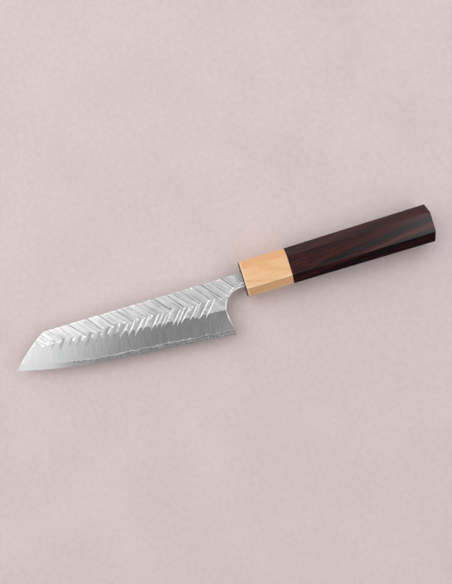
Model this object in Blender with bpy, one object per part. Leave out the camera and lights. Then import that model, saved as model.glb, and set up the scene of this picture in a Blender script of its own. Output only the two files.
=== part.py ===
"""Bunka kitchen knife: a three-layer steel blade in an octagonal wooden handle, lying on its side."""

import math

import bmesh
import bpy
from mathutils import Matrix, Vector

# Sizes are in metres. In the knife's own frame X runs from the tip to the butt, Y from the cutting
# edge to the spine, and Z through the thickness, with the left side of the knife at +Z. X = 0 is the
# ferrule's front face, and Y = Z = 0 is the handle's axis.

# Blade outline
BLADE_REACH = 0.1485  # ferrule to tip, along X
CLIP_LENGTH = 0.0221  # clipped part of the tip, along X
CLIP_BULGE = 0.0008  # how far the clipped part bows outwards between its ends
CORNER_RADIUS = 0.0040  # rounding where it meets the spine
SPINE_RISE_DEG = 0.42  # slope of the spine
NECK_HEIGHT = 0.0089  # neck and start of the tang, where they enter the ferrule
NECK_LENGTH = 0.0027  # ferrule to the choil's curve, below the neck
CHOIL_RADIUS = 0.0118  # curve from the neck down into the heel
HEEL_DROP = 0.0308  # corner of the heel, below the axis
HEEL_LEAN_DEG = 4.4  # the heel leans towards the tip as it rises
EDGE_RISE_DEG = 5.23  # slope of the straight part of the cutting edge
BELLY_LENGTH = 0.0605  # curved part of the cutting edge, along X
BELLY_RISE = 0.0111  # how far the edge climbs along that part, up to the tip

# Blade section
SPINE_THICKNESS = 0.0020  # at the ferrule, and all along the tang
CORNER_THICKNESS = 0.0014  # at the corner of the clipped tip
CORE_THICKNESS = 0.00042
EDGE_LAND = 0.0001  # width left on the cutting edge
BEVEL_WIDTH = 0.0160  # ground face, from the edge up to the hammered flat

# Tang
TANG_LENGTH = 0.0660
TANG_END_HEIGHT = 0.0045
TANG_END_RADIUS = 0.0012

# Handle outside
HANDLE_LENGTH = 0.1180
FRONT_HEIGHT = 0.0216
FRONT_THICKNESS = 0.0186
FRONT_CORNER_CUT = 0.00495  # leg of the octagon's cut corners
BUTT_HEIGHT = 0.0233
BUTT_THICKNESS = 0.0200
BUTT_CORNER_CUT = 0.00540
FERRULE_LENGTH = 0.0289
FRONT_EASE = 0.0005  # chamfer round the ferrule's front face
BUTT_EASE = 0.0006  # chamfer round the butt

# Handle inside
FERRULE_WALL = 0.0040  # ferrule's front wall, ahead of its bore
RESIN_WALL = 0.00075  # resin above and below the tang, at the dowel's front
DOWEL_EASE = 0.0008  # chamfer on the dowel's ends
DOWEL_TAIL = 0.0060  # solid end of the dowel, behind its kerf
KERF_SPARE = 0.0040  # kerf beyond the end of the tang
SEAL_WALL = 0.0006  # bead round the neck
SEAL_RECESS = 0.0003  # bead, below the ferrule's front face

# Clearances
WELD_GAP = 0.00002  # between the layers of the blade
GLUE_GAP = 0.0001  # between the ferrule and the handle body
SEAT_GAP = 0.0003  # round the tang, the dowel and the resin
SEAL_GAP = 0.00015  # on both sides of the bead

# Place on the table
REST_POINT = 0.0735  # ferrule to the point of the lower facet that lies on the world's origin

# Fineness
CURVE_STEPS = 14  # along the belly and the choil
CORNER_STEPS = 5  # along the short curves
STRAIGHT_STEPS = 6  # along the straight part of the edge
DOWEL_SIDES = 40
OVERSHOOT = 0.0030  # how far a cutter runs past what it cuts

HALF_NECK = NECK_HEIGHT / 2
HALF_SPINE = SPINE_THICKNESS / 2
HALF_CORE = CORE_THICKNESS / 2
CORNER_REACH = BLADE_REACH - CLIP_LENGTH
BODY_START = FERRULE_LENGTH + GLUE_GAP
DOWEL_START = FERRULE_WALL + SEAT_GAP
KERF_END = TANG_LENGTH + KERF_SPARE
DOWEL_END = KERF_END + DOWEL_TAIL
HALF_KERF = HALF_SPINE + SEAT_GAP


def lerp(a, b, share):
    return a + (b - a) * share


def turned(vector, angle):
    return Matrix.Rotation(angle, 2) @ vector


def arc_from(start, heading, end, steps):
    """Points after start on the arc that leaves it along heading and ends at end."""
    chord = end - start
    swing = -heading.angle_signed(chord)
    diameter = chord.length / math.sin(swing)
    shares = [swing * i / steps for i in range(1, steps)]
    return [start + turned(heading, share) * diameter * math.sin(share) for share in shares] + [end]


def bowed(start, end, bulge, steps):
    """Points after start on the arc to end that bows to the right by bulge."""
    chord = end - start
    heading = turned(chord.normalized(), -2 * math.atan(2 * bulge / chord.length))
    return arc_from(start, heading, end, steps)


def rounded(before, corner, after, radius, steps):
    """Points of the arc that replaces a corner."""
    arriving = (corner - before).normalized()
    leaving = (after - corner).normalized()
    cut = radius * math.tan(arriving.angle(leaving) / 2)
    start = corner - arriving * cut
    return [start] + arc_from(start, arriving, corner + leaving * cut, steps)


def choil_corner():
    """Where the lines of the heel and the neck would meet without the choil's curve."""
    turn = math.radians(90 + HEEL_LEAN_DEG)
    return Vector((-NECK_LENGTH - CHOIL_RADIUS * math.tan(turn / 2), -HALF_NECK))


def edge_line():
    """The cutting edge from the heel to the tip."""
    lean = math.tan(math.radians(HEEL_LEAN_DEG))
    heel = Vector((choil_corner().x + (HEEL_DROP - HALF_NECK) * lean, -HEEL_DROP))
    heading = turned(Vector((-1, 0)), -math.radians(EDGE_RISE_DEG))
    straight_length = BLADE_REACH - BELLY_LENGTH + heel.x
    belly = heel + heading * straight_length / -heading.x
    tip = belly + Vector((-BELLY_LENGTH, BELLY_RISE))
    straight = [heel.lerp(belly, i / STRAIGHT_STEPS) for i in range(STRAIGHT_STEPS + 1)]
    return straight + arc_from(belly, heading, tip, CURVE_STEPS)


def blade_outline():
    """Blade and tang in plan, counterclockwise from the lower corner of the tang's end."""
    end_low = Vector((TANG_LENGTH, -TANG_END_HEIGHT / 2))
    end_high = Vector((TANG_LENGTH, TANG_END_HEIGHT / 2))
    neck_top = Vector((0, HALF_NECK))
    neck_low = Vector((0, -HALF_NECK))
    rise = math.tan(math.radians(SPINE_RISE_DEG))
    corner = Vector((-CORNER_REACH, HALF_NECK + CORNER_REACH * rise))
    edge = edge_line()

    clip = bowed(corner, edge[-1], CLIP_BULGE, CORNER_STEPS)
    outline = rounded(neck_low, end_low, end_high, TANG_END_RADIUS, CORNER_STEPS)
    outline += rounded(end_low, end_high, neck_top, TANG_END_RADIUS, CORNER_STEPS)
    outline += [neck_top]
    outline += rounded(neck_top, corner, clip[0], CORNER_RADIUS, CORNER_STEPS)
    outline += clip
    outline += edge[-2::-1]
    outline += rounded(edge[0], choil_corner(), neck_low, CHOIL_RADIUS, CURVE_STEPS)
    outline += [neck_low]
    return outline


def half_thickness(x):
    """Half the thickness of the blade's flat, which thins from the ferrule towards the tip."""
    return lerp(HALF_SPINE, CORNER_THICKNESS / 2, max(-x, 0) / CORNER_REACH)


def material(name, colour, roughness, metallic=0.0):
    made = bpy.data.materials.new(name)
    made.use_nodes = True
    shader = made.node_tree.nodes["Principled BSDF"]
    shader.inputs["Base Color"].default_value = (*colour, 1.0)
    shader.inputs["Roughness"].default_value = roughness
    shader.inputs["Metallic"].default_value = metallic
    return made


def finished(bm, name, frame, x=0.0):
    """Object of the mesh, with its own origin at x on the handle's axis."""
    bmesh.ops.recalc_face_normals(bm, faces=bm.faces)
    bmesh.ops.translate(bm, verts=bm.verts, vec=(-x, 0, 0))
    mesh = bpy.data.meshes.new(name)
    bm.to_mesh(mesh)
    bm.free()
    obj = bpy.data.objects.new(name, mesh)
    bpy.context.collection.objects.link(obj)
    obj.parent = frame
    obj.location.x = x
    return obj


def helper(obj):
    obj.display_type = "WIRE"
    obj.hide_render = True
    return obj


def cut(obj, *cutters):
    for cutter in cutters:
        modifier = obj.modifiers.new(cutter.name, "BOOLEAN")
        modifier.operation = "DIFFERENCE"
        modifier.solver = "EXACT"
        modifier.object = cutter


def steel_layer(name, low, high, frame):
    """The whole plan of blade and tang, from height low(x) up to high(x)."""
    bm = bmesh.new()
    bm.faces.new([bm.verts.new((*point, 0)) for point in blade_outline()])
    everything = bm.verts[:] + bm.edges[:] + bm.faces[:]
    bmesh.ops.bisect_plane(bm, geom=everything, plane_co=(0, 0, 0), plane_no=(1, 0, 0))
    raised = bmesh.ops.extrude_face_region(bm, geom=bm.faces[:])["geom"]
    top = {item for item in raised if isinstance(item, bmesh.types.BMVert)}
    for vert in bm.verts:
        vert.co.z = (high if vert in top else low)(vert.co.x)
    return finished(bm, name, frame)


def grinding_wheel(name, side, frame):
    """What the grinding takes off one side, as a cutter that runs along the edge."""
    edge = edge_line()
    before = edge[0] + (edge[0] - edge[1]).normalized() * 2 * OVERSHOOT
    after = edge[-1] + (edge[-1] - edge[-2]).normalized() * 2 * OVERSHOOT
    line = [before] + edge + [after]
    bm = bmesh.new()
    sections = []
    for i, point in enumerate(line):
        along = (line[min(i + 1, len(line) - 1)] - line[max(i - 1, 0)]).normalized()
        across = Vector((along.y, -along.x))
        shoulder = half_thickness((point + across * BEVEL_WIDTH).x)
        slope = (shoulder - EDGE_LAND / 2) / BEVEL_WIDTH
        outer = point - across * OVERSHOOT
        inner = point + across * (BEVEL_WIDTH + OVERSHOOT)
        corners = [
            (outer, EDGE_LAND / 2 - slope * OVERSHOOT),
            (inner, shoulder + slope * OVERSHOOT),
            (inner, SPINE_THICKNESS),
            (outer, SPINE_THICKNESS),
        ]
        sections.append([bm.verts.new((*place, side * z)) for place, z in corners])
    for near, far in zip(sections, sections[1:]):
        for i in range(4):
            j = (i + 1) % 4
            bm.faces.new((near[i], near[j], far[j], far[i]))
    bm.faces.new(sections[0])
    bm.faces.new(sections[-1])
    bmesh.ops.triangulate(bm, faces=bm.faces)
    return helper(finished(bm, name, frame))


def octagon(x, inset):
    """Points of the handle's section at x, drawn in by inset all round."""
    share = x / HANDLE_LENGTH
    half_height = lerp(FRONT_HEIGHT, BUTT_HEIGHT, share) / 2 - inset
    half_width = lerp(FRONT_THICKNESS, BUTT_THICKNESS, share) / 2 - inset
    leg = lerp(FRONT_CORNER_CUT, BUTT_CORNER_CUT, share) - inset * (2 - math.sqrt(2))
    flat_y = half_height - leg
    flat_z = half_width - leg
    quarter = [(half_height, flat_z), (flat_y, half_width)]
    points = quarter + [(-y, z) for y, z in reversed(quarter)]
    points += [(-y, -z) for y, z in points]
    return [(x, y, z) for y, z in points]


def handle_piece(name, start, end, front_ease, rear_ease, frame):
    """Stretch of the tapered octagonal handle, with a chamfer round either end."""
    stations = [(start, front_ease), (start + front_ease, 0), (end - rear_ease, 0), (end, rear_ease)]
    if not front_ease:
        stations.pop(0)
    if not rear_ease:
        stations.pop()
    bm = bmesh.new()
    rings = [[bm.verts.new(point) for point in octagon(x, inset)] for x, inset in stations]
    for near, far in zip(rings, rings[1:]):
        for i in range(8):
            j = (i + 1) % 8
            bm.faces.new((near[i], near[j], far[j], far[i]))
    bm.faces.new(rings[0])
    bm.faces.new(rings[-1])
    return finished(bm, name, frame, start)


def rod(name, start, end, radius, frame, ease=0.0):
    """Round bar along the handle's axis, with chamfered ends."""
    bm = bmesh.new()
    turn = Matrix.Translation(((start + end) / 2, 0, 0)) @ Matrix.Rotation(math.radians(90), 4, "Y")
    shape = {"segments": DOWEL_SIDES, "radius1": radius, "radius2": radius, "depth": end - start}
    bmesh.ops.create_cone(bm, cap_ends=True, matrix=turn, **shape)
    if ease:
        rims = [edge for edge in bm.edges if abs(edge.verts[0].co.x - edge.verts[1].co.x) < ease / 2]
        bmesh.ops.bevel(bm, geom=rims, offset=ease, segments=1, affect="EDGES")
    return finished(bm, name, frame, start)


def block(name, start, end, half_y, half_z, frame):
    """Rectangular bar along the handle's axis."""
    bm = bmesh.new()
    size = Matrix.Diagonal((end - start, 2 * half_y, 2 * half_z, 1))
    bmesh.ops.create_cube(bm, size=1, matrix=Matrix.Translation(((start + end) / 2, 0, 0)) @ size)
    return finished(bm, name, frame, start)


def above_tang(x):
    """Lowest height over the axis that is clear of the tang at x."""
    return lerp(HALF_NECK, TANG_END_HEIGHT / 2, x / TANG_LENGTH) + SEAT_GAP


def resin_top():
    return above_tang(DOWEL_START) + RESIN_WALL


def bore_radius():
    """The bore clears the resin's outer corners, and the dowel fits in it."""
    return math.hypot(resin_top() + SEAT_GAP, HALF_KERF)


def resin_bed(name, frame):
    """Resin in the dowel's kerf: above and below the tang, and behind its end."""
    front = DOWEL_START + SEAT_GAP
    back = KERF_END - SEAT_GAP
    tang_back = TANG_LENGTH + SEAT_GAP
    upper = [
        (tang_back, above_tang(TANG_LENGTH)),
        (front, above_tang(front)),
        (front, resin_top()),
        (back, resin_top()),
    ]
    bm = bmesh.new()
    plan = upper + [(x, -y) for x, y in reversed(upper)]
    half = HALF_KERF - SEAT_GAP
    face = bm.faces.new([bm.verts.new((x, y, -half)) for x, y in plan])
    raised = bmesh.ops.extrude_face_region(bm, geom=[face])["geom"]
    top = [item for item in raised if isinstance(item, bmesh.types.BMVert)]
    bmesh.ops.translate(bm, verts=top, vec=(0, 0, 2 * half))
    return finished(bm, name, frame, front)


def table_frame():
    """Empty that lays the knife on the lower facet of its handle, whose taper it levels."""
    taper = (BUTT_THICKNESS - FRONT_THICKNESS) / 2 / HANDLE_LENGTH
    turn = Matrix.Rotation(-math.atan(taper), 4, "Y")
    touch = Vector((REST_POINT, 0, -(FRONT_THICKNESS / 2 + taper * REST_POINT)))
    frame = bpy.data.objects.new("knife_frame", None)
    bpy.context.collection.objects.link(frame)
    frame.matrix_world = turn @ Matrix.Translation(-touch)
    return frame


def make_blade(frame):
    wheels = [grinding_wheel("wheel_left", 1, frame), grinding_wheel("wheel_right", -1, frame)]
    clad = HALF_CORE + WELD_GAP
    core = steel_layer("core_steel", lambda x: -HALF_CORE, lambda x: HALF_CORE, frame)
    left = steel_layer("left_cladding", lambda x: clad, half_thickness, frame)
    right = steel_layer("right_cladding", lambda x: -half_thickness(x), lambda x: -clad, frame)
    cut(core, *wheels)
    cut(left, wheels[0])
    cut(right, wheels[1])
    core.data.materials.append(material("hard core steel", (0.42, 0.42, 0.43), 0.32, 1.0))
    left.data.materials.append(material("left cladding steel", (0.62, 0.62, 0.62), 0.28, 1.0))
    right.data.materials.append(material("right cladding steel", (0.60, 0.60, 0.60), 0.28, 1.0))


def make_handle(frame):
    ferrule = handle_piece("ferrule", 0, FERRULE_LENGTH, FRONT_EASE, 0, frame)
    body = handle_piece("handle_body", BODY_START, HANDLE_LENGTH, 0, BUTT_EASE, frame)
    seal_y = HALF_NECK + SEAL_GAP + SEAL_WALL
    seal_z = HALF_SPINE + SEAL_GAP + SEAL_WALL
    mouth = block("mouth", -OVERSHOOT, DOWEL_START, seal_y + SEAL_GAP, seal_z + SEAL_GAP, frame)
    bore = rod("bore", FERRULE_WALL, DOWEL_END + SEAT_GAP, bore_radius(), frame)
    cut(ferrule, helper(mouth), helper(bore))
    cut(body, bore)
    ferrule.data.materials.append(material("pale ferrule wood", (0.78, 0.50, 0.26), 0.42))
    body.data.materials.append(material("dark rosewood", (0.060, 0.018, 0.014), 0.34))

    dowel = rod("tang_dowel", DOWEL_START, DOWEL_END, bore_radius() - SEAT_GAP, frame, DOWEL_EASE)
    kerf = block("kerf", DOWEL_START - OVERSHOOT, KERF_END, bore_radius(), HALF_KERF, frame)
    cut(dowel, helper(kerf))
    dowel.data.materials.append(material("dowel wood", (0.62, 0.42, 0.24), 0.60))

    resin = resin_bed("setting_resin", frame)
    resin.data.materials.append(material("set resin", (0.40, 0.28, 0.12), 0.30))

    seal = block("mouth_seal", SEAL_RECESS, FERRULE_WALL - SEAT_GAP, seal_y, seal_z, frame)
    passage = block(
        "passage", -OVERSHOOT, DOWEL_START, HALF_NECK + SEAL_GAP, HALF_SPINE + SEAL_GAP, frame
    )
    cut(seal, helper(passage))
    seal.data.materials.append(material("sealing bead", (0.10, 0.06, 0.04), 0.45))


def main():
    for obj in list(bpy.data.objects):
        bpy.data.objects.remove(obj)
    frame = table_frame()
    make_blade(frame)
    make_handle(frame)


main()
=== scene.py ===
import math
import random

import bmesh
import bpy
from mathutils import Matrix, Vector


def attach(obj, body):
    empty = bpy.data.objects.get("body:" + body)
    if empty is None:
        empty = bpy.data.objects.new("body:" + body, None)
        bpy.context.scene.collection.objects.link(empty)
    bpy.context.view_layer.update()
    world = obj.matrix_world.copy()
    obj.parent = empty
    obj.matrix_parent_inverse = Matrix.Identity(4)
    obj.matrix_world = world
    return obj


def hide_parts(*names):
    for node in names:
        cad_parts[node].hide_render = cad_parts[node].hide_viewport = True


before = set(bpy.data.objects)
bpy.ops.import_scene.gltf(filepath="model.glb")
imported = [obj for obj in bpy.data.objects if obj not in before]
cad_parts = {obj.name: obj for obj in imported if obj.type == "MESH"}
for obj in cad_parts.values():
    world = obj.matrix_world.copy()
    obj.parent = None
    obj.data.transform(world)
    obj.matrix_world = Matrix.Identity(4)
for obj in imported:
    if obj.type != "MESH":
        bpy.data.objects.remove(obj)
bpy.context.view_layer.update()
scene = bpy.context.scene
mm = 0.001
print("frame loaded:", ", ".join(sorted(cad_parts)))


# The knife's own frame: X from the tip to the butt along the handle's axis, Y from the cutting edge
# to the spine, Z out of the left side, and its origin in the ferrule's front face. The handle lies
# on its lower facet, so its taper tips the whole knife a little, which the flat of the core shows.
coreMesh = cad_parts["core_steel"].data
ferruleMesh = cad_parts["ferrule"].data
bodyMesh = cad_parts["handle_body"].data
broadFace = max(coreMesh.polygons, key=lambda face: face.area)
tilt = -math.atan(broadFace.normal.x / broadFace.normal.z)
level = Matrix.Rotation(tilt, 4, "Y")
coreHeights = [(level @ vert.co).z for vert in coreMesh.vertices]
frontX = min((level @ vert.co).x for vert in ferruleMesh.vertices)
buttX = max((level @ vert.co).x for vert in bodyMesh.vertices) - frontX
axisHeight = (min(coreHeights) + max(coreHeights)) / 2
knifePlace = level.inverted() @ Matrix.Translation((frontX, 0, axisHeight))


def objectMode():
    if bpy.context.object and bpy.context.object.mode != "OBJECT":
        bpy.ops.object.mode_set(mode="OBJECT")


def pick(obj):
    # this object alone is selected, and it is active
    objectMode()
    bpy.ops.object.select_all(action="DESELECT")
    obj.select_set(True)
    bpy.context.view_layer.objects.active = obj


def editMode(kind, chosen):
    # into edit mode with only the chosen vertices, edges or faces selected
    obj = bpy.context.object
    bpy.ops.object.mode_set(mode="EDIT")
    bpy.ops.mesh.select_mode(type=kind)
    bpy.ops.mesh.select_all(action="DESELECT")
    bpy.ops.object.mode_set(mode="OBJECT")
    parts = {"VERT": obj.data.vertices, "EDGE": obj.data.edges, "FACE": obj.data.polygons}[kind]
    for part in parts:
        part.select = bool(chosen(part))
    bpy.ops.object.mode_set(mode="EDIT")


def applyPlace(obj):
    pick(obj)
    bpy.ops.object.transform_apply(location=True, rotation=True, scale=True)


def applyModifier(obj, kind, **settings):
    pick(obj)
    modifier = obj.modifiers.new(kind.lower(), kind)
    for name, value in settings.items():
        setattr(modifier, name, value)
    bpy.ops.object.modifier_apply(modifier=modifier.name)


def knifeCopy(node, name, flatWithinDeg=0.02):
    # the node's mesh, brought into the knife's frame, with its loose triangles made whole faces
    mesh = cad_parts[node].data.copy()
    mesh.materials.clear()
    obj = bpy.data.objects.new(name, mesh)
    scene.collection.objects.link(obj)
    obj.matrix_world = knifePlace.inverted()
    applyPlace(obj)
    editMode("VERT", lambda vert: True)
    bpy.ops.mesh.remove_doubles(threshold=0.002 * mm)
    bpy.ops.mesh.dissolve_limited(angle_limit=math.radians(flatWithinDeg))
    objectMode()
    return obj


def layOnTable(obj, slot, *nodes):
    # the finished piece goes to its place in the scene and stands for its nodes
    obj.matrix_world = knifePlace
    applyPlace(obj)
    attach(obj, "root")
    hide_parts(*nodes)


# Materials

def linear(hexColour):
    # sRGB hex to linear values
    channels = [int(hexColour[i:i + 2], 16) / 255 for i in (1, 3, 5)]
    return tuple(c / 12.92 if c <= 0.04045 else ((c + 0.055) / 1.055) ** 2.4 for c in channels) + (1,)


def addNode(tree, kind, inputs=None, stops=(), **settings):
    # an input takes a value, a hex colour, another node, or one socket of it
    node = tree.nodes.new("ShaderNode" + kind)
    for name, value in settings.items():
        setattr(node, name, value)
    for count, (place, value) in enumerate(stops):
        # places along a colour ramp, each with a hex colour or a grey value
        elements = node.color_ramp.elements
        element = elements[count] if count < 2 else elements.new(1.0)
        element.position = place
        element.color = linear(value) if isinstance(value, str) else (value, value, value, 1)
    for name, value in (inputs or {}).items():
        if isinstance(value, bpy.types.Node):
            value = next(socket for socket in value.outputs if socket.enabled)
        if isinstance(value, bpy.types.NodeSocket):
            tree.links.new(value, node.inputs[name])
        else:
            node.inputs[name].default_value = linear(value) if isinstance(value, str) else value
    return node


def newMaterial(name):
    # an empty material, with the knife's own coordinates in millimetres for its patterns
    made = bpy.data.materials.new(name)
    made.use_nodes = True
    tree = made.node_tree
    tree.nodes.clear()
    place = addNode(tree, "TexCoord")
    knife = addNode(tree, "Mapping", {
        "Vector": place.outputs["Object"],
        "Location": knifePlace.inverted().translation / mm,
        "Rotation": (0, tilt, 0),
        "Scale": (1 / mm, 1 / mm, 1 / mm),
    })
    return made, tree, knife


def grain(tree, vector, stretch, turnDeg=(0, 0, 0), detail=3.0, roughness=0.5):
    # noise whose features are about stretch millimetres long each way, from 0 to 1
    turned = addNode(tree, "Mapping", {"Vector": vector, "Rotation": [math.radians(a) for a in turnDeg]})
    scaled = addNode(tree, "Mapping", {"Vector": turned, "Scale": [1 / length for length in stretch]})
    noise = addNode(tree, "TexNoise", {
        "Vector": scaled, "Scale": 1.0, "Detail": detail, "Roughness": roughness,
    })
    return noise.outputs["Fac"]


print("making materials")

# Steel of the blade. The outer layers are soft stainless steel and the core is a hard carbon steel.
# Metals show little but what they reflect, so the finishes differ in roughness and in how pale they
# are. Grain sizes are in millimetres, along X, Y and Z. Streaks, scratches and specks are finer on a
# real blade, too fine to show, and are drawn as coarse as the picture needs.
steel = {
    "hammered": "#EAEAE9",      # pressed by the hammer and left as it is: pale, soft sheen
    "hammeredDull": "#B6B7B7",
    "hammeredRoughness": 0.38,
    "lowerDull": "#BDBEBE",     # the lower row is wiped by the grinding: smoother
    "lowerRoughness": 0.33,
    "roughnessSpread": 0.06,    # either way, from one streak to the next
    "strikeTurnDeg": 40,        # how far the strikes lean out of the blade's height
    "streak": (0.42, 13.0, 13.0),       # left by the scratched face of the hammer
    "cloud": (1.5, 14.0, 14.0),         # broader bands, with this share of the streaks' strength
    "cloudShare": 0.6,
    "streakDepth": 0.018 * mm,
    "scale": "#606164",         # painted shade: dark steel where one strike steps up to the next
    "stepShadePale": "#88898C",
    "stepShadeRoughness": 0.45,
    "ground": "#DADADB",        # ground across the edge on a fine stone: satin
    "groundLow": "#C3C4C5",
    "groundRoughness": 0.24,
    "scratch": (0.45, 11.0, 11.0),
    "scratchDepth": 0.01 * mm,
    "scratchRoughens": 0.12,
    "core": "#CDCDCD",          # harder, so it comes out darker and cloudy
    "coreDark": "#8E8E8E",
    "coreRoughness": 0.30,
    "speck": (0.55, 0.45, 0.6),
    "speckRoughens": 1.3,
    "weldLineAndHighlight": "#FAFAF9",      # iron-rich seam, whitened by the etch, with a painted highlight along it; left matt, it shines all round
    "weldRoughness": 0.55,
    "weldMetal": 0.35,
    "weldWidth": 0.36,
    "weldHeight": 2.8,          # of the seam over the edge, in millimetres
    "weldWave": (5.0, 7.0, 40.0),
    "weldWander": 7.0,          # the seam strays by about a third of this either way
    "weldRipple": (2.3, 2.3, 40.0),
    "weldCurl": 3.0,            # and curls by a third of this on top
    "weldGlareFade": (-126, -112),   # towards the tip it fades into the paler ground: a painted highlight
    "weldBreak": (1.6, 3.0, 3.0),
    "weldLeast": 0.2,           # what shows of it at a break
    "weldSpecks": (-44, -16),   # towards the heel it breaks up into specks, by this much more
    "weldLoss": 0.2,
    "rim": "#E9E9E8",           # eased and polished by hand
    "rimRoughness": 0.30,
}


def hammeredSteel(name, turnDeg, high, low, roughness):
    # streaks run along the strike, left by the hammer's own scratched face
    made, tree, knife = newMaterial(name)
    turn = (0, 0, -turnDeg)
    streak = grain(tree, knife, steel["streak"], turn, detail=3, roughness=0.55)
    cloud = grain(tree, knife, steel["cloud"], turn, detail=2)
    both = addNode(tree, "Math", {
        0: cloud, 1: steel["cloudShare"], 2: streak,
    }, operation="MULTIPLY_ADD")
    tone = addNode(tree, "ValToRGB", {"Fac": both}, [(0.62, low), (0.82, high)])
    spread = steel["roughnessSpread"]
    dull = addNode(tree, "MapRange", {
        "Value": streak, "From Min": 0.35, "From Max": 0.65,
        "To Min": roughness + spread, "To Max": roughness - spread,
    })
    bump = addNode(tree, "Bump", {"Height": both, "Strength": 0.6, "Distance": steel["streakDepth"]})
    shader = addNode(tree, "BsdfPrincipled", {
        "Base Color": tone, "Metallic": 1.0, "Roughness": dull, "Normal": bump,
    })
    addNode(tree, "OutputMaterial", {"Surface": shader})
    return made


def groundSteel(name, bevel):
    # scratches run up from the edge; a wandering seam parts the core from the outer layer
    made, tree, knife = newMaterial(name)
    place = addNode(tree, "SeparateXYZ", {"Vector": knife}).outputs
    slope = addNode(tree, "MapRange", {
        "Value": place["X"], "From Min": bevel["tipX"] / mm, "From Max": bevel["heelX"] / mm,
        "To Min": bevel["tipSlope"], "To Max": bevel["heelSlope"],
    }, clamp=False)
    depth = addNode(tree, "Math", {0: place["Z"]}, operation="ABSOLUTE")
    thick = addNode(tree, "Math", {0: depth, 1: bevel["halfEdge"] / mm}, operation="SUBTRACT")
    height = addNode(tree, "Math", {0: thick, 1: slope}, operation="DIVIDE")

    # how far a point lies above the seam, in millimetres, and where the seam shows
    wave = grain(tree, knife, steel["weldWave"], detail=9, roughness=0.88)
    over = addNode(tree, "Math", {0: wave, 1: steel["weldWander"], 2: height}, operation="MULTIPLY_ADD")
    curl = grain(tree, knife, steel["weldRipple"], detail=4, roughness=0.65)
    over = addNode(tree, "Math", {0: curl, 1: steel["weldCurl"], 2: over}, operation="MULTIPLY_ADD")
    middle = steel["weldHeight"] + (steel["weldWander"] + steel["weldCurl"]) / 2
    over = addNode(tree, "Math", {0: over, 1: middle}, operation="SUBTRACT")
    # towards the tip the seam and the dark core fade out: painted highlight
    fadeOut, fadeIn = steel["weldGlareFade"]
    shown = addNode(tree, "MapRange", {"Value": place["X"], "From Min": fadeOut, "From Max": fadeIn})
    inCore = addNode(tree, "MapRange", {"Value": over, "From Min": 0.0, "From Max": -0.12})
    coreShare = addNode(tree, "Math", {0: inCore, 1: shown}, operation="MULTIPLY")

    # the seam's line, its paler steel and a painted highlight, on a ramp that runs over 2 mm with the seam's
    # lower border in its middle
    near = addNode(tree, "MapRange", {"Value": over, "From Min": -1.0, "From Max": 1.0})
    low, soft = 0.5, 0.02
    high = low + steel["weldWidth"] / 2
    line = addNode(tree, "ValToRGB", {"Fac": near},
                   [(low, 0.0), (low + soft, 1.0), (high, 1.0), (high + 2 * soft, 0.0)])
    breaks = grain(tree, knife, steel["weldBreak"], detail=2)
    fromMiddle, toHeel = steel["weldSpecks"]
    loss = addNode(tree, "MapRange", {
        "Value": place["X"], "From Min": fromMiddle, "From Max": toHeel, "To Max": steel["weldLoss"],
    })
    breaks = addNode(tree, "Math", {0: breaks, 1: loss}, operation="SUBTRACT")
    broken = addNode(tree, "MapRange", {
        "Value": breaks, "From Min": 0.38, "From Max": 0.56, "To Min": steel["weldLeast"],
    })
    line = addNode(tree, "Math", {0: line, 1: broken}, operation="MULTIPLY")
    line = addNode(tree, "Math", {0: line, 1: shown}, operation="MULTIPLY")

    turn = (0, 0, bevel["scratchTurnDeg"])
    scratch = grain(tree, knife, steel["scratch"], turn, detail=4, roughness=0.6)
    speck = grain(tree, knife, steel["speck"], detail=3, roughness=0.7)
    outer = addNode(tree, "ValToRGB", {"Fac": scratch},
                    [(0.30, steel["groundLow"]), (0.70, steel["ground"])])
    clear = addNode(tree, "ValToRGB", {"Fac": speck},
                    [(0.36, steel["coreDark"]), (0.64, steel["core"])])
    nearSeam = addNode(tree, "MapRange", {
        "Value": over, "From Min": -1.3, "From Max": -0.1, "To Max": 0.8,
    })
    under = addNode(tree, "Mix", {0: nearSeam, 6: clear, 7: steel["coreDark"]}, data_type="RGBA")
    tone = addNode(tree, "Mix", {0: coreShare, 6: outer, 7: under}, data_type="RGBA")
    tone = addNode(tree, "Mix", {0: line, 6: tone, 7: steel["weldLineAndHighlight"]}, data_type="RGBA")

    # the seam and the specks of the core are rougher, so they catch the lights on both sides
    dull = addNode(tree, "MapRange", {
        "Value": coreShare, "To Min": steel["groundRoughness"], "To Max": steel["coreRoughness"],
    })
    lean = addNode(tree, "Math", {0: scratch, 1: 0.5}, operation="SUBTRACT")
    dull = addNode(tree, "Math", {
        0: lean, 1: steel["scratchRoughens"], 2: dull,
    }, operation="MULTIPLY_ADD")
    cloud = addNode(tree, "Math", {0: speck, 1: 0.5}, operation="SUBTRACT")
    cloud = addNode(tree, "Math", {0: cloud, 1: coreShare}, operation="MULTIPLY")
    dull = addNode(tree, "Math", {
        0: cloud, 1: steel["speckRoughens"], 2: dull,
    }, operation="MULTIPLY_ADD")
    dull = addNode(tree, "Mix", {0: line, 2: dull, 3: steel["weldRoughness"]}, data_type="FLOAT")
    metal = addNode(tree, "MapRange", {"Value": line, "To Min": 1.0, "To Max": steel["weldMetal"]})
    bump = addNode(tree, "Bump", {"Height": scratch, "Strength": 0.26, "Distance": steel["scratchDepth"]})
    shader = addNode(tree, "BsdfPrincipled", {
        "Base Color": tone, "Metallic": metal, "Roughness": dull, "Normal": bump,
    })
    addNode(tree, "OutputMaterial", {"Surface": shader})
    return made


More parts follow.
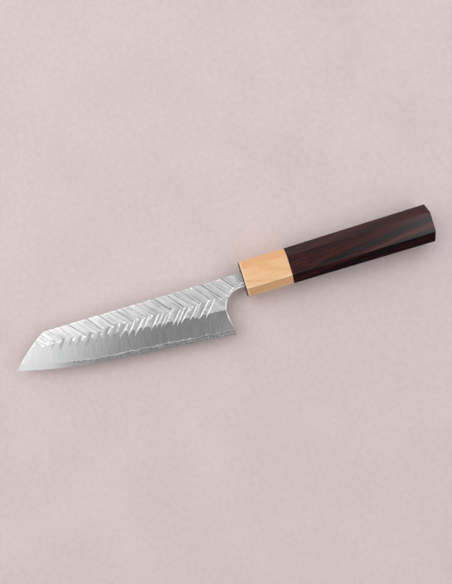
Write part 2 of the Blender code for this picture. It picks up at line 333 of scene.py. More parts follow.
# Woods. The ferrule's growth rings are drawn about a pith that lies outside the piece and leans a
# little, so that its flats show long arches; the rosewood's stripes cross the handle at a slant.
# Fibres and pores are finer on the real woods, too fine to show, and are drawn coarser.
ferruleWood = {
    "base": "#F7C998",          # boxwood, oiled and varnished: warm, pale and very even
    "side": "#EDB886",          # painted shade: deeper on the facets that lean away from the flat
    "shadedSideLean": 0.35,
    "highlit": "#FFE2C0",        # painted highlight: paler on the ridges of the edge's side and near the front
    "highlitNear": (1.9, 1.0),   # in millimetres behind the front: from none to most of it
    "highlitShare": 0.8,
    "late": "#E3A467",
    "fleck": "#C98B50",
    "end": "#3C2119",           # end grain drinks the oil and goes dark; the front face is darker still as painted shade
    "endShadeNear": (0.75, 0.5),
    "ring": 2.4,                # one year of growth, in millimetres
    "ringSquash": 0.12,         # rings are drawn out along the handle
    "pith": (0, 9, -22),
    "leanDeg": (0, 5, 3),
    "fibre": (11.0, 0.4, 0.4),
    "pore": (3.5, 0.25, 0.25),
    "relief": 0.02 * mm,
    "roughness": 0.38,
    "varnish": (0.25, 0.2),     # weight and roughness of its coat
}
bodyWood = {
    "red": "#3F1717",           # rosewood: red-brown, with near-black stripes and open pores
    "light": "#5C2B27",
    "dark": "#15131A",
    "pore": "#060304",
    # the butt's end grain: dark, and darker still as painted shade
    "end": "#1E0C0A",
    "endShadeNear": (0.4, 0.1),      # in millimetres before the butt: from none to all of it
    "slantDeg": 5.7,            # of the stripes to the handle
    "slantShare": 0.25,         # and their slant through it, as a shift per height
    # from the edge's side to the spine's, in millimetres across the stripes
    "stripes": [(-26, "red"), (-21, "dark"), (-17.2, "red"), (-15.2, "dark"), (-12.2, "dark"),
                (-10.9, "light"), (-9.2, "red"), (-8.5, "dark"), (-5.9, "dark"), (-4.8, "red"),
                (-1.0, "red"), (1.6, "dark"), (3.6, "red"), (9, "dark")],
    "waver": 4.8,               # a stripe strays by about a third of this either way
    "waverSize": (42.0, 3.2, 6.0),
    "streak": (30.0, 0.9, 1.2),
    "fibre": (13.0, 0.35, 0.35),
    "pores": (4.5, 0.2, 0.2),
    "relief": 0.03 * mm,
    "calmer": (45, 90),         # towards the butt the fine figure fades to this share
    "calmShare": 0.35,
    # share of near-black in it, roughness and specular level: as oiled, and on the lower facets darkened as
    # painted shade and dulled
    "kept": (0.0, 0.17, 0.46),
    "shadedFacets": (0.42, 0.45, 0.04),
    "shadedFacetLean": -0.35,       # a facet that leans further than this towards the edge's side gets the painted shade
}


def boxwood(name, base):
    made, tree, knife = newMaterial(name)
    leaned = addNode(tree, "Mapping", {
        "Vector": knife, "Rotation": [math.radians(a) for a in ferruleWood["leanDeg"]],
    })
    moved = addNode(tree, "Mapping", {"Vector": leaned, "Location": [-c for c in ferruleWood["pith"]]})
    squeezed = addNode(tree, "Mapping", {"Vector": moved, "Scale": (ferruleWood["ringSquash"], 1, 1)})
    # at scale 1 the wave's rings are pi / 10 apart
    ring = addNode(tree, "TexWave", {
        "Vector": squeezed, "Scale": math.pi / 10 / ferruleWood["ring"],
        "Distortion": 4.0, "Detail": 3.0, "Detail Scale": 0.35, "Detail Roughness": 0.6,
    }, wave_type="RINGS", rings_direction="X")
    fibre = grain(tree, knife, ferruleWood["fibre"], (0, 0, 1.5), detail=4, roughness=0.6)
    pore = grain(tree, knife, ferruleWood["pore"], detail=2, roughness=0.5)
    late = addNode(tree, "ValToRGB", {"Fac": ring.outputs["Fac"]}, [(0.72, 0.0), (0.98, 0.38)])
    tone = addNode(tree, "Mix", {0: late, 6: base, 7: ferruleWood["late"]}, data_type="RGBA")
    fine = addNode(tree, "ValToRGB", {"Fac": fibre}, [(0.46, 0.0), (0.66, 0.42)])
    tone = addNode(tree, "Mix", {0: fine, 6: tone, 7: ferruleWood["late"]}, data_type="RGBA")
    flecks = addNode(tree, "ValToRGB", {"Fac": pore}, [(0.60, 0.0), (0.74, 0.40)])
    tone = addNode(tree, "Mix", {0: flecks, 6: tone, 7: ferruleWood["fleck"]}, data_type="RGBA")
    along = addNode(tree, "SeparateXYZ", {"Vector": knife}).outputs["X"]
    # a painted highlight near the front
    highlitFrom, highlitTo = ferruleWood["highlitNear"]
    front = addNode(tree, "MapRange", {
        "Value": along, "From Min": highlitFrom, "From Max": highlitTo, "To Max": ferruleWood["highlitShare"],
    })
    tone = addNode(tree, "Mix", {0: front, 6: tone, 7: ferruleWood["highlit"]}, data_type="RGBA")
    # the front face: dark end grain, and painted shade
    endFrom, endTo = ferruleWood["endShadeNear"]
    end = addNode(tree, "MapRange", {"Value": along, "From Min": endFrom, "From Max": endTo})
    tone = addNode(tree, "Mix", {0: end, 6: tone, 7: ferruleWood["end"]}, data_type="RGBA")
    bump = addNode(tree, "Bump", {"Height": fibre, "Strength": 0.12, "Distance": ferruleWood["relief"]})
    coat, coatRoughness = ferruleWood["varnish"]
    shader = addNode(tree, "BsdfPrincipled", {
        "Base Color": tone, "Roughness": ferruleWood["roughness"], "Normal": bump,
        "Coat Weight": coat, "Coat Roughness": coatRoughness,
    })
    addNode(tree, "OutputMaterial", {"Surface": shader})
    return made


def rosewood(name, oiled, roughness, gloss):
    made, tree, knife = newMaterial(name)
    turn = (0, 0, -bodyWood["slantDeg"])
    slanted = addNode(tree, "Mapping", {"Vector": knife, "Rotation": [math.radians(a) for a in turn]})
    across = addNode(tree, "SeparateXYZ", {"Vector": slanted}).outputs
    place = addNode(tree, "Math", {
        0: across["Z"], 1: bodyWood["slantShare"], 2: across["Y"],
    }, operation="MULTIPLY_ADD")
    waver = grain(tree, knife, bodyWood["waverSize"], turn, detail=5, roughness=0.66)
    place = addNode(tree, "Math", {0: waver, 1: bodyWood["waver"], 2: place}, operation="MULTIPLY_ADD")
    first, last = bodyWood["stripes"][0][0], bodyWood["stripes"][-1][0]
    middle = bodyWood["waver"] / 2
    share = addNode(tree, "MapRange", {
        "Value": place, "From Min": first + middle, "From Max": last + middle,
    })
    tone = addNode(tree, "ValToRGB", {"Fac": share},
                   [((at - first) / (last - first), bodyWood[key]) for at, key in bodyWood["stripes"]])
    streak = grain(tree, knife, bodyWood["streak"], turn, detail=5, roughness=0.65)
    fibre = grain(tree, knife, bodyWood["fibre"], turn, detail=3, roughness=0.6)
    pore = grain(tree, knife, bodyWood["pores"], turn, detail=2, roughness=0.5)
    along = addNode(tree, "SeparateXYZ", {"Vector": knife}).outputs["X"]
    fromX, toX = bodyWood["calmer"]
    calm = addNode(tree, "MapRange", {
        "Value": along, "From Min": fromX, "From Max": toX, "To Min": 1.0, "To Max": bodyWood["calmShare"],
    })
    for source, stops, over in (
        (streak, [(0.50, 0.0), (0.62, 0.65)], "dark"),
        (streak, [(0.38, 0.5), (0.46, 0.0)], "light"),
        (fibre, [(0.50, 0.0), (0.60, 0.5)], "dark"),
        (fibre, [(0.40, 0.5), (0.48, 0.0)], "light"),
        (pore, [(0.60, 0.0), (0.70, 0.85)], "pore"),
    ):
        much = addNode(tree, "ValToRGB", {"Fac": source}, stops)
        much = addNode(tree, "Math", {0: much, 1: calm}, operation="MULTIPLY")
        tone = addNode(tree, "Mix", {0: much, 6: tone, 7: bodyWood[over]}, data_type="RGBA")
    # near-black mixed in: none on the upper facets, painted shade on the lower ones
    tone = addNode(tree, "Mix", {0: oiled, 6: tone, 7: bodyWood["pore"]}, data_type="RGBA")
    # the butt: dark end grain, and painted shade
    endFrom, endTo = (buttX / mm - before for before in bodyWood["endShadeNear"])
    end = addNode(tree, "MapRange", {"Value": along, "From Min": endFrom, "From Max": endTo})
    tone = addNode(tree, "Mix", {0: end, 6: tone, 7: bodyWood["end"]}, data_type="RGBA")
    bump = addNode(tree, "Bump", {"Height": fibre, "Strength": 0.15, "Distance": bodyWood["relief"]})
    shader = addNode(tree, "BsdfPrincipled", {
        "Base Color": tone, "Roughness": roughness, "Normal": bump, "Specular IOR Level": gloss,
    })
    addNode(tree, "OutputMaterial", {"Surface": shader})
    return made


# Blade

blade = {
    "groundUp": (0.99, 0.9995), # how far a ground face looks up: it leans about 3 degrees
    "flatUp": 0.9999,
    "outerUp": 0.99,            # any face of the outside looks up more than this, and a wall less
    "wallUp": 0.1,
    "leastGround": 3 * mm * mm, # smaller faces don't tell the bevel's slope
    "bareTo": 0.1 * mm,         # the blade is bare up to here, at the ferrule's front
    "choilFrom": -20 * mm,      # and the heel and the choil lie behind this
    "seamLeft": 0.002 * mm,     # what is left open between the layers
    "seamReach": 1.5,           # what lies within this many gaps of the core moves up to it
    "rimWidth": 0.50 * mm,      # rounding along the spine and the clip
    "choilWidth": 1.15 * mm,    # and round the choil and the heel, where a finger goes
    "rimShare": 0.6,            # how deep the rounding goes, as a share of its width
    "rimSpare": 0.05 * mm,      # wall that a full rounding leaves below it
    "rimLeast": 0.08,           # a smaller share of a full rounding is left out
    "rimSegments": 4,
    "taperLength": (4 * mm, 60 * mm),   # rim edges of this length are divided for a tapering ease,
    "taperFall": 0.1 * mm,      # where their wall thins by more than this
    "taperCuts": 9,
    "honedShare": 0.2,          # what honing leaves of the edge's thickness
    "honedReach": 1.2,          # on all that lies within this many half thicknesses of its middle
    "crispDeg": 6,              # steps sharper than this stay crisp
    "coreCrispDeg": 2,
}
# The hammer's marks lie in two rows that meet in chevrons, whose points look towards the handle.
# Across a mark, its floor falls slowly to the foot of a step: shares of its width and depth, and
# then the step itself, in millimetres before its top and shares of the depth. Rows and spacings are
# in millimetres along the knife.
upperMark = {
    "width": 8.6 * mm,
    "depth": 0.34 * mm,
    "floor": [(-1, 0), (-0.9, 0), (-0.7, -0.08), (-0.5, -0.24), (-0.3, -0.50), (-0.15, -0.76)],
    "step": [(-0.55, -1), (0, 0)],
    "reach": 21 * mm,           # from the chevron's point, out over the spine
    "crown": -1500 * mm,        # the mark falls away towards the spine
    "rows": (-132, 10),         # first and last mark
    "spacing": (4.4, 10.0),
    "wider": -0.46,             # share by which marks are wider apart at the tip
    "force": (0.8, 1.15),
    "pitchDeg": (-0.1, 0.35),   # how far the hammer leans towards the mark's far end
}
lowerMark = {
    "width": 8.6 * mm,
    "depth": 0.24 * mm,
    "floor": [(-1, 0), (-0.66, -0.15), (-0.42, -0.34), (-0.24, -0.60)],
    "step": [(-1.0, -1), (-0.86, -0.66), (0, 0)],
    "reach": -15 * mm,
    "crown": 1500 * mm,
    "rows": (-78, -19),
    "spacing": (1.8, 4.4),
    "wider": 0.5,
    "force": (0.5, 1.3),
    "pitchDeg": (-0.2, 0.3),
}
# In the tip half the lower row was struck with a sharper corner, whose steep steps look dark and also get the
# painted shade of the steps.
tipMark = dict(lowerMark, depth=0.29 * mm, step=[(-0.27, -1), (0, 0)], rows=(-125, -78),
               spacing=(3.0, 6.0), wider=0.2, force=(0.7, 1.1))
strike = {
    "endSlope": 0.90 * mm,      # the hammer's face is eased at both ends
    "endLift": 1.2,             # by this share of the depth
    "above": 0.6 * mm,          # how far the tool stands out of the steel
    "crownSteps": 12,
    "overlap": 1.08,
    "widest": 1.15,             # wide marks are deeper, up to this width, by this power of it
    "widePower": 0.25,
    "rollDeg": 0.3,
    "leanJitterDeg": 3.5,
    "pointBelowSpine": (10.9, 7.4),     # of the chevrons, at the heel and at the tip, in millimetres
    "pointJitter": 0.9,
    "choilClear": 1.9 * mm,     # strikes stop this far from the choil, so that its rim stays whole
    "choilShares": (0, 0.25, 0.5),      # points across the mark that are kept clear
    "choilTry": 0.2,            # step up the strike's line, in millimetres, and number of steps
    "choilTries": 60,
    "mostTaken": 15 * mm ** 3,  # no strike takes more steel than this
    "leftSeed": 11,
    "rightSeed": 29,
}


def isGround(face):
    least, most = blade["groundUp"]
    return least < abs(face.normal.z) < most


def isFlat(face):
    return abs(face.normal.z) > blade["flatUp"]


coreSteel = knifeCopy("core_steel", "hardCore")
halfCore = max(vert.co.z for vert in coreSteel.data.vertices)
tipX = min(vert.co.x for vert in coreSteel.data.vertices)
halfEdge = max(vert.co.z for vert in coreSteel.data.vertices if vert.co.z < halfCore / 3)
grounds = [face for face in coreSteel.data.polygons
           if isGround(face) and face.normal.z > 0 and face.area > blade["leastGround"]]
tipGround = min(grounds, key=lambda face: face.center.x)
heelGround = max(grounds, key=lambda face: face.center.x)
bevel = {
    "halfEdge": halfEdge,
    "tipX": tipGround.center.x,
    "tipSlope": math.hypot(*tipGround.normal.xy) / tipGround.normal.z,
    "heelX": heelGround.center.x,
    "heelSlope": math.hypot(*heelGround.normal.xy) / heelGround.normal.z,
    "scratchTurnDeg": math.degrees(math.atan2(*-heelGround.normal.xy)),
}
print("  bevel:", {key: round(value, 5) for key, value in bevel.items()})

groundLook = groundSteel("ground stainless over hard carbon steel", bevel)
rimLook = hammeredSteel("polished rim of the blade", 90, steel["rim"], steel["rim"], steel["rimRoughness"])
upperLook = hammeredSteel("hammered stainless, upper strikes", steel["strikeTurnDeg"],
                          steel["hammered"], steel["hammeredDull"], steel["hammeredRoughness"])
lowerLook = hammeredSteel("hammered stainless, lower strikes", -steel["strikeTurnDeg"],
                          steel["hammered"], steel["lowerDull"], steel["lowerRoughness"])
# the lower row's steps are pale all over: burnished steel, and a painted highlight as well
stepHighlightLook = hammeredSteel("burnished steps of the lower strikes", -steel["strikeTurnDeg"],
                          steel["rim"], steel["hammered"], steel["hammeredRoughness"])
# the steps of the upper row and of the tip's row are painted dark: painted shade in the crease
stepShadeLook = hammeredSteel("painted shade in the steps", steel["strikeTurnDeg"],
                          steel["stepShadePale"], steel["scale"], steel["stepShadeRoughness"])


def outerLine(cladding):
    # ends of the spine's straight line, on the flat: at the neck, and where the clip's corner begins
    outer = [vert.co.copy() for vert in cladding.data.vertices if abs(vert.co.z) > 2 * halfCore
             and 0 < vert.co.y and vert.co.x < blade["bareTo"]]
    return max(outer, key=lambda co: co.x), max(outer, key=lambda co: co.y)


def spinePoint(spine, x):
    # the point of the spine's line at x
    neck, corner = spine
    return neck.lerp(corner, x / corner.x)


def closeWeld(cladding, side):
    # the layers are forged together: the gap goes, and the ground face runs on down to the core
    vertices = cladding.data.vertices
    gap = min(vert.co.z * side for vert in vertices) - halfCore - blade["seamLeft"]
    groundFaces = [face for face in cladding.data.polygons if isGround(face)]
    slope = math.tan(math.acos(abs(groundFaces[0].normal.z)))
    groundVerts = {i for face in groundFaces for i in face.vertices}
    inner = {vert.index for vert in vertices if vert.co.z * side < halfCore + gap * blade["seamReach"]}
    pick(cladding)
    editMode("VERT", lambda vert: vert.index in inner)
    bpy.ops.transform.translate(value=(0, 0, -side * gap))
    editMode("VERT", lambda vert: vert.index in inner & groundVerts)
    bpy.ops.transform.translate(value=(0, -gap / slope, 0))
    objectMode()


def rimEdges(mesh, side):
    # edges between the outer face and the walls, ahead of the handle, each with its wall's height
    faces = {}
    for face in mesh.polygons:
        for key in face.edge_keys:
            faces.setdefault(key, []).append(face.normal.z * side)
    found = {}
    for key, leans in faces.items():
        a, b = (mesh.vertices[i].co for i in key)
        meets = max(leans) > blade["outerUp"] and min(abs(z) for z in leans) < blade["wallUp"]
        if meets and max(a.x, b.x) < blade["bareTo"]:
            found[key] = min(abs(a.z), abs(b.z)) - halfCore
    return found


def roundRim(cladding, side):
    # the rim is eased by hand; where the wall thins out, so does the ease. The steel is stretched
    # upwards while it is rounded, so that the rim comes out wider than deep.
    mesh = cladding.data
    shortest, longest = blade["taperLength"]
    tapering = set()
    for key in rimEdges(mesh, side):
        a, b = (mesh.vertices[i].co for i in key)
        if shortest < (a - b).length < longest and abs(a.z - b.z) > blade["taperFall"]:
            tapering.add(key)
    pick(cladding)
    editMode("EDGE", lambda edge: edge.key in tapering)
    bpy.ops.mesh.subdivide(number_cuts=blade["taperCuts"])
    objectMode()
    rim = rimEdges(mesh, side)
    weights = mesh.attributes.new("bevel_weight_edge", "FLOAT", "EDGE")
    for edge in mesh.edges:
        a, b = (mesh.vertices[i].co for i in edge.vertices)
        atChoil = min(a.x, b.x) > blade["choilFrom"] and max(a.y, b.y) < 0
        width = blade["choilWidth"] if atChoil else blade["rimWidth"]
        share = min(1, max(0, rim.get(edge.key, 0)) / (width * blade["rimShare"] + blade["rimSpare"]))
        weight = share * width / blade["choilWidth"]
        weights.data[edge.index].value = weight if share > blade["rimLeast"] else 0
    cladding.scale = (1, 1, 1 / blade["rimShare"])
    applyPlace(cladding)
    applyModifier(cladding, "BEVEL", limit_method="WEIGHT", width=blade["choilWidth"],
                  segments=blade["rimSegments"], use_clamp_overlap=False,
                  material=mesh.materials.find(rimLook.name))
    cladding.scale = (1, 1, blade["rimShare"])
    applyPlace(cladding)


def strikeTool(mark, side, look, stepLook):
    # one mark as a solid, whose origin is the top of the step at the chevron's point
    width, depth, above = mark["width"], mark["depth"], strike["above"]
    profile = [(-width - above, above)]
    profile += [(x * width, z * depth) for x, z in mark["floor"]]
    profile += [(x * mm, z * depth) for x, z in mark["step"]]
    foot = profile[-len(mark["step"])][0]
    profile += [(above, above)]
    bpy.ops.object.select_all(action="DESELECT")
    bpy.ops.mesh.primitive_plane_add(size=1 * mm, location=(profile[0][0], 0, profile[0][1]))
    tool = bpy.context.object
    bpy.ops.object.mode_set(mode="EDIT")
    bpy.ops.mesh.merge(type="CENTER")
    bpy.ops.mesh.select_mode(type="VERT")
    bpy.ops.mesh.select_all(action="SELECT")
    for (x, z), (nextX, nextZ) in zip(profile, profile[1:]):
        bpy.ops.mesh.extrude_region_move(TRANSFORM_OT_translate={"value": (nextX - x, 0, nextZ - z)})
    bpy.ops.mesh.select_all(action="SELECT")
    bpy.ops.mesh.edge_face_add()
    reach = mark["reach"] * side
    bpy.ops.mesh.spin(steps=strike["crownSteps"], angle=-reach / mark["crown"],
                      center=(0, 0, mark["crown"]), axis=(1, 0, 0))
    applyPlace(tool)
    for end in (-1, 1):
        editMode("FACE", lambda face: face.normal.y * end > 0.9)
        away = (0, end * strike["endSlope"], strike["endLift"] * depth)
        bpy.ops.mesh.extrude_region_move(TRANSFORM_OT_translate={"value": away})
        objectMode()
    editMode("FACE", lambda face: True)
    bpy.ops.mesh.normals_make_consistent(inside=False)
    objectMode()
    tool.data.materials.append(look)
    tool.data.materials.append(stepLook)
    for face in tool.data.polygons:
        if foot < face.center.x < above and 0 < face.center.y / reach < 1:
            face.material_index = 1
    return tool


def placeStrike(tool, side, spine, x, y, turnDeg, tiltDeg, size):
    # the top of the mark's step begins at x, y on the side's flat
    copy = tool.copy()
    copy.data = tool.data.copy()
    height = abs(spinePoint(spine, x).z)
    lift = Matrix.Translation((0, 0, height)) @ Matrix.Diagonal((*size, 1))
    flip = Matrix.Rotation(math.pi if side < 0 else 0, 4, "X")
    turn = Matrix.Rotation(math.radians(turnDeg), 4, "Z")
    pitch, roll = (Matrix.Rotation(math.radians(a), 4, axis) for a, axis in zip(tiltDeg, "XY"))
    copy.matrix_world = Matrix.Translation((x, y, 0)) @ turn @ flip @ lift @ pitch @ roll
    scene.collection.objects.link(copy)
    return copy


def choilLine(mesh, side):
    # corners of the outer face's outline round the choil
    ends = {i for key in rimEdges(mesh, side) for i in key}
    corners = [mesh.vertices[i].co.xy for i in ends]
    return [co for co in corners if co.x > blade["choilFrom"] and co.y < 0]


def pastChoil(choil, x, y, turnDeg, width):
    # how far up its own line a strike starts, to leave the rim of the choil alone
    turn = math.radians(turnDeg)
    along = Vector((-math.sin(turn), math.cos(turn)))
    back = Vector((-math.cos(turn), -math.sin(turn)))
    starts = [Vector((x, y)) + back * width * share for share in strike["choilShares"]]
    near = [0]
    for step in range(strike["choilTries"]):
        way = step * strike["choilTry"] * mm
        near += [way for co in choil for start in starts
                 if (start + along * way - co).length < strike["choilClear"]]
    return along * max(near)


def volume(mesh):
    solid = bmesh.new()
    solid.from_mesh(mesh)
    size = solid.calc_volume(signed=True)
    solid.free()
    return size


def cut(cladding, placed):
    # True if the strike came out well; a cut that fails shows in the volume and is taken back
    kept = cladding.data.copy()
    applyModifier(cladding, "BOOLEAN", operation="DIFFERENCE", solver="EXACT", object=placed,
                  material_mode="TRANSFER")
    bpy.data.objects.remove(placed)
    taken = volume(kept) - volume(cladding.data)
    fine = 0 < taken < strike["mostTaken"]
    spare = kept if fine else cladding.data
    if not fine:
        cladding.data = kept
    bpy.data.meshes.remove(spare)
    return fine


def hammer(cladding, side, seed, spine, choil):
    # flat triangles cut best, and strikes that cut one by one keep the steel one closed body
    dice = random.Random(seed)
    count, failed = 0, 0
    pick(cladding)
    editMode("FACE", lambda face: True)
    bpy.ops.mesh.quads_convert_to_tris()
    objectMode()
    for mark, rowSide, look, stepLook in (
        (upperMark, 1, upperLook, stepShadeLook),
        (lowerMark, -1, lowerLook, stepHighlightLook),
        (tipMark, -1, lowerLook, stepShadeLook),
    ):
        tool = strikeTool(mark, side, look, stepLook)
        first, last = mark["rows"]
        x = first
        while x < last:
            share = min(1, x * mm / tipX)
            gap = dice.uniform(*mark["spacing"]) * (1 + mark["wider"] * share)
            x += gap
            nearHeel, nearTip = strike["pointBelowSpine"]
            below = nearHeel + (nearTip - nearHeel) * share
            below += dice.uniform(-1, 1) * strike["pointJitter"]
            turn = rowSide * steel["strikeTurnDeg"] + dice.uniform(-1, 1) * strike["leanJitterDeg"]
            across = gap * mm * math.cos(math.radians(turn)) * strike["overlap"] / mark["width"]
            force = dice.uniform(*mark["force"]) * min(strike["widest"], across) ** strike["widePower"]
            pitch = -dice.uniform(*mark["pitchDeg"]) * rowSide * side
            tilts = (pitch, dice.uniform(-1, 1) * strike["rollDeg"])
            start = Vector((x * mm, spinePoint(spine, x * mm).y - below * mm))
            if rowSide > 0:
                start += pastChoil(choil, *start, turn, across * mark["width"])
            placed = placeStrike(tool, side, spine, *start, turn, tilts, (across, 1, force))
            count += 1
            failed += not cut(cladding, placed)
        bpy.data.objects.remove(tool)
    print(" ", cladding.name, count, "strikes,", failed, "taken back")


def paintFlats(cladding):
    # what the hammer left between its marks has the hammered look
    mesh = cladding.data
    for face in mesh.polygons:
        if isFlat(face) and mesh.materials[face.material_index] == groundLook:
            face.material_index = mesh.materials.find(upperLook.name)


def smoothSteel(obj):
    # soft within each mark and crisp at its step and at the shoulder; rims are round right through
    mesh = obj.data
    pick(obj)
    bpy.ops.object.shade_smooth_by_angle(angle=math.radians(blade["crispDeg"]))
    looks = {}
    for face in mesh.polygons:
        for key in face.edge_keys:
            looks.setdefault(key, set()).add(mesh.materials[face.material_index].name)
    rims = {key for key, names in looks.items() if rimLook.name in names}
    shoulders = {key for key, names in looks.items()
                 if len(names) > 1 and groundLook.name in names and key not in rims}
    editMode("EDGE", lambda edge: edge.key in rims)
    bpy.ops.mesh.mark_sharp(clear=True)
    editMode("EDGE", lambda edge: edge.key in shoulders)
    bpy.ops.mesh.mark_sharp()
    objectMode()
    applyModifier(obj, "WEIGHTED_NORMAL", keep_sharp=True, weight=90)


def honeEdge(core):
    # both sides of the core run out in a keen edge
    edgeVerts = {vert.index for vert in core.data.vertices if abs(vert.co.z) < halfEdge * blade["honedReach"]}
    pick(core)
    editMode("VERT", lambda vert: vert.index in edgeVerts)
    bpy.ops.transform.resize(value=(1, 1, blade["honedShare"]), center_override=(0, 0, 0))
    objectMode()


print("forging the blade")
for node, name, side, seed in (
    ("left_cladding", "leftCladding", 1, strike["leftSeed"]),
    ("right_cladding", "rightCladding", -1, strike["rightSeed"]),
):
    cladding = knifeCopy(node, name)
    for look in (groundLook, rimLook):
        cladding.data.materials.append(look)
    spine = outerLine(cladding)
    closeWeld(cladding, side)
    choil = choilLine(cladding.data, side)
    roundRim(cladding, side)
    hammer(cladding, side, seed, spine, choil)
    paintFlats(cladding)
    smoothSteel(cladding)
    layOnTable(cladding, "cladding_steel", node)

honeEdge(coreSteel)
coreSteel.data.materials.append(groundLook)
pick(coreSteel)
bpy.ops.object.shade_smooth_by_angle(angle=math.radians(blade["coreCrispDeg"]))
layOnTable(coreSteel, "core_steel", "core_steel")


# Handle

print("shaping the handle")
handle = {
    "outside": 7 * mm,          # what lies further than this from the axis is outside
    "ridgeLength": 15 * mm,     # the long ridges are longer than this
    "ridgeSegments": 3,
    "ferruleRidge": 0.45 * mm,  # width of their rounding
    "bodyRidge": 0.20 * mm,
    "endReach": 1 * mm,         # chamfers at the ferrule's front and the butt lie this near to the end
    "endEase": 0.14 * mm,
    "endSegments": 2,
    "jointClose": 0.049 * mm,   # each wood takes up half of the glue line
    "samePlace": 0.01 * mm,
    "crispDeg": 30,
}


def easeEdges(piece, chosen, width, segments, look=None):
    # rounds the outer edges that are chosen by their two ends
    mesh = piece.data
    keys = set()
    for edge in mesh.edges:
        a, b = (mesh.vertices[i].co for i in edge.vertices)
        if min(a.yz.length, b.yz.length) > handle["outside"] and chosen(a, b):
            keys.add(edge.key)
    index = -1
    if look:
        mesh.materials.append(look)
        index = len(mesh.materials) - 1
    pick(piece)
    editMode("EDGE", lambda edge: edge.key in keys)
    bpy.ops.mesh.bevel(offset=width, segments=segments, affect="EDGES", clamp_overlap=False, material=index)
    objectMode()


def finishWood(piece, slot, node, joint, ridge, ridgeLook=None):
    # joint is 1 or -1, the way along X that the joint face looks. It moves into the glue line, ridges
    # and the other end's chamfers are eased, and flats stay flat.
    places = [vert.co.x for vert in piece.data.vertices]
    jointX, endX = (max(places), min(places)) if joint > 0 else (min(places), max(places))
    same = handle["samePlace"]
    moved = {vert.index for vert in piece.data.vertices if abs(vert.co.x - jointX) < same}
    pick(piece)
    editMode("VERT", lambda vert: vert.index in moved)
    bpy.ops.transform.translate(value=(joint * handle["jointClose"], 0, 0))
    objectMode()
    # the ridges on the edge's side get the painted highlight
    for row, look in ((1, None), (-1, ridgeLook)):
        easeEdges(piece, lambda a, b: abs(a.x - b.x) > handle["ridgeLength"] and a.y * row > 0,
                  ridge, handle["ridgeSegments"], look)
    easeEdges(piece, lambda a, b: abs(a.x - b.x) < same
              and max(abs(a.x - endX), abs(b.x - endX)) < handle["endReach"],
              handle["endEase"], handle["endSegments"])
    pick(piece)
    bpy.ops.object.shade_smooth_by_angle(angle=math.radians(handle["crispDeg"]))
    applyModifier(piece, "WEIGHTED_NORMAL", keep_sharp=True, weight=80)
    layOnTable(piece, slot, node)


ferrule = knifeCopy("ferrule", "paleFerrule", flatWithinDeg=0.1)
ferrule.data.materials.append(boxwood("oiled boxwood", ferruleWood["base"]))
ferrule.data.materials.append(boxwood("oiled boxwood, side facets in painted shade", ferruleWood["side"]))
# facets that lean away from the flat get the painted shade
for face in ferrule.data.polygons:
    face.material_index = int(abs(face.normal.y) > ferruleWood["shadedSideLean"])
finishWood(ferrule, "ferrule_wood", "ferrule", 1, handle["ferruleRidge"],
           boxwood("oiled boxwood, rubbed ridges", ferruleWood["highlit"]))
body = knifeCopy("handle_body", "darkHandle", flatWithinDeg=0.1)
body.data.materials.append(rosewood("oiled rosewood", *bodyWood["kept"]))
body.data.materials.append(rosewood("oiled rosewood, lower facets in painted shade", *bodyWood["shadedFacets"]))
for face in body.data.polygons:
    face.material_index = int(face.normal.y < bodyWood["shadedFacetLean"])
finishWood(body, "handle_wood", "handle_body", -1, handle["bodyRidge"])


# Inside the handle: these pieces keep the frame's own shapes and only get their finish.

print("finishing the pieces inside")
inner = {
    # bare magnolia, turned to a dowel: pale, straight and dull
    "tang_dowel": {
        "name": "bare magnolia dowel", "low": "#C4A677", "high": "#E2CDA6",
        "stretch": (16.0, 0.5, 0.5), "roughness": 0.65, "relief": 0.03 * mm,
    },
    # set epoxy, poured: clear amber, glossy, with a faint haze
    "setting_resin": {
        "name": "set epoxy resin", "low": "#A98A50", "high": "#C8A868",
        "stretch": (2.5, 2.5, 2.5), "roughness": 0.2, "relief": 0.005 * mm, "coat": 0.5,
    },
    # sealing wax, smoothed with a warm blade: dark, soft sheen
    "mouth_seal": {
        "name": "dark sealing wax", "low": "#3A2C25", "high": "#5A473B",
        "stretch": (0.7, 0.7, 0.7), "roughness": 0.45, "relief": 0.02 * mm,
    },
}


def innerLook(name, low, high, stretch, roughness, relief, coat=0.0):
    # a mottled or grained finish of two colours, with grain sizes in millimetres
    made, tree, knife = newMaterial(name)
    figure = grain(tree, knife, stretch, detail=4, roughness=0.6)
    tone = addNode(tree, "ValToRGB", {"Fac": figure}, [(0.34, low), (0.66, high)])
    dull = addNode(tree, "MapRange", {
        "Value": figure, "To Min": roughness + 0.08, "To Max": roughness - 0.08,
    })
    bump = addNode(tree, "Bump", {"Height": figure, "Strength": 0.3, "Distance": relief})
    shader = addNode(tree, "BsdfPrincipled", {
        "Base Color": tone, "Roughness": dull, "Normal": bump, "Coat Weight": coat,
    })
    addNode(tree, "OutputMaterial", {"Surface": shader})
    return made


for node, look in inner.items():
    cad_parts[node].material_slots[0].material = innerLook(**look)


# Table, light and camera

studio = {
    "floor": "#E2D2D1",         # painted board, pale warm grey
    "floorMottle": "#D9C9C7",
    "mottle": (45, 3.0),        # its broad and its fine patches, in millimetres
    "floorSize": 8.0,
    "worldLevel": 0.192,
    "distance": 1.6,            # of the softboxes
    # degrees that each softbox stands round from the handle's end, and down from straight above,
    # its size, its level and its colour
    "softboxes": {
        "softboxLeft": (139, 44.5, (2.2, 2.0), 1.0, "#FFFFFF"),
        "softboxSide": (139, 52, (2.2, 2.0), 0.64, "#FFFFFF"),
        "softboxRight": (38, 40, (1.8, 1.45), 0.80, "#F6F9FF"),
        "softboxNear": (-50, 31, (2.0, 1.2), 1.05, "#FFFFFF"),
    },
}


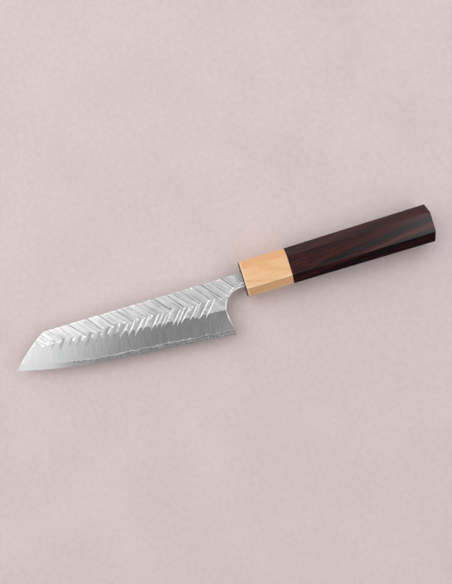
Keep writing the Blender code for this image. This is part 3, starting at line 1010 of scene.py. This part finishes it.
def softbox(name, fromDeg, offDeg, size, levelOut, tint):
    # a rectangle of soft light that looks at the knife; its level is the brightness of its face
    lamp = bpy.data.lights.new(name, "AREA")
    lamp.shape = "RECTANGLE"
    lamp.size, lamp.size_y = size
    lamp.energy = levelOut * math.pi * lamp.size * lamp.size_y
    lamp.color = linear(tint)[:3]
    obj = bpy.data.objects.new(name, lamp)
    scene.collection.objects.link(obj)
    off, turn = math.radians(offDeg), math.radians(fromDeg)
    away = Vector((math.sin(off) * math.cos(turn), math.sin(off) * math.sin(turn), math.cos(off)))
    obj.location = away * studio["distance"]
    obj.rotation_euler = away.to_track_quat("Z", "Y").to_euler()


def paintedBoard(name):
    # a matt board with the faint mottling of a brushed coat
    made, tree, knife = newMaterial(name)
    broadSize, fineSize = studio["mottle"]
    broad = grain(tree, knife, [broadSize] * 3, detail=3, roughness=0.5)
    fine = grain(tree, knife, [fineSize] * 3, detail=4, roughness=0.7)
    mottle = addNode(tree, "Math", {0: broad, 1: 0.6, 2: fine}, operation="MULTIPLY_ADD")
    tone = addNode(tree, "ValToRGB", {"Fac": mottle},
                   [(0.60, studio["floorMottle"]), (0.98, studio["floor"])])
    shader = addNode(tree, "BsdfPrincipled", {
        "Base Color": tone, "Roughness": 0.9, "Specular IOR Level": 0.0,
    })
    addNode(tree, "OutputMaterial", {"Surface": shader})
    return made


print("setting the table")
bpy.ops.object.select_all(action="DESELECT")
bpy.ops.mesh.primitive_plane_add(size=studio["floorSize"])
floor = bpy.context.object
floor.name = "tableTop"
floor.data.materials.append(paintedBoard("painted board"))
for name, settings in studio["softboxes"].items():
    softbox(name, *settings)
world = bpy.data.worlds.new("studio")
world.use_nodes = True
world.node_tree.nodes["Background"].inputs["Color"].default_value = (1, 1, 1, 1)
world.node_tree.nodes["Background"].inputs["Strength"].default_value = studio["worldLevel"]
scene.world = world

cameraPlace = {
    "over": (-11.9 * mm, -4.06 * mm),   # point of the knife that the camera stands over
    "height": 350 * mm,         # above the middle of the core
    "turnDeg": -17.0,
    "lens": 35.28,
}
lens = bpy.data.cameras.new("camera")
lens.sensor_fit = "VERTICAL"
lens.sensor_height = 36
lens.lens = cameraPlace["lens"]
camera = bpy.data.objects.new("camera", lens)
scene.collection.objects.link(camera)
camera.location = knifePlace @ Vector((*cameraPlace["over"], 0)) + Vector((0, 0, cameraPlace["height"]))
camera.rotation_euler = (0, 0, math.radians(cameraPlace["turnDeg"]))
scene.camera = camera
scene.view_settings.view_transform = "Standard"

print("done")
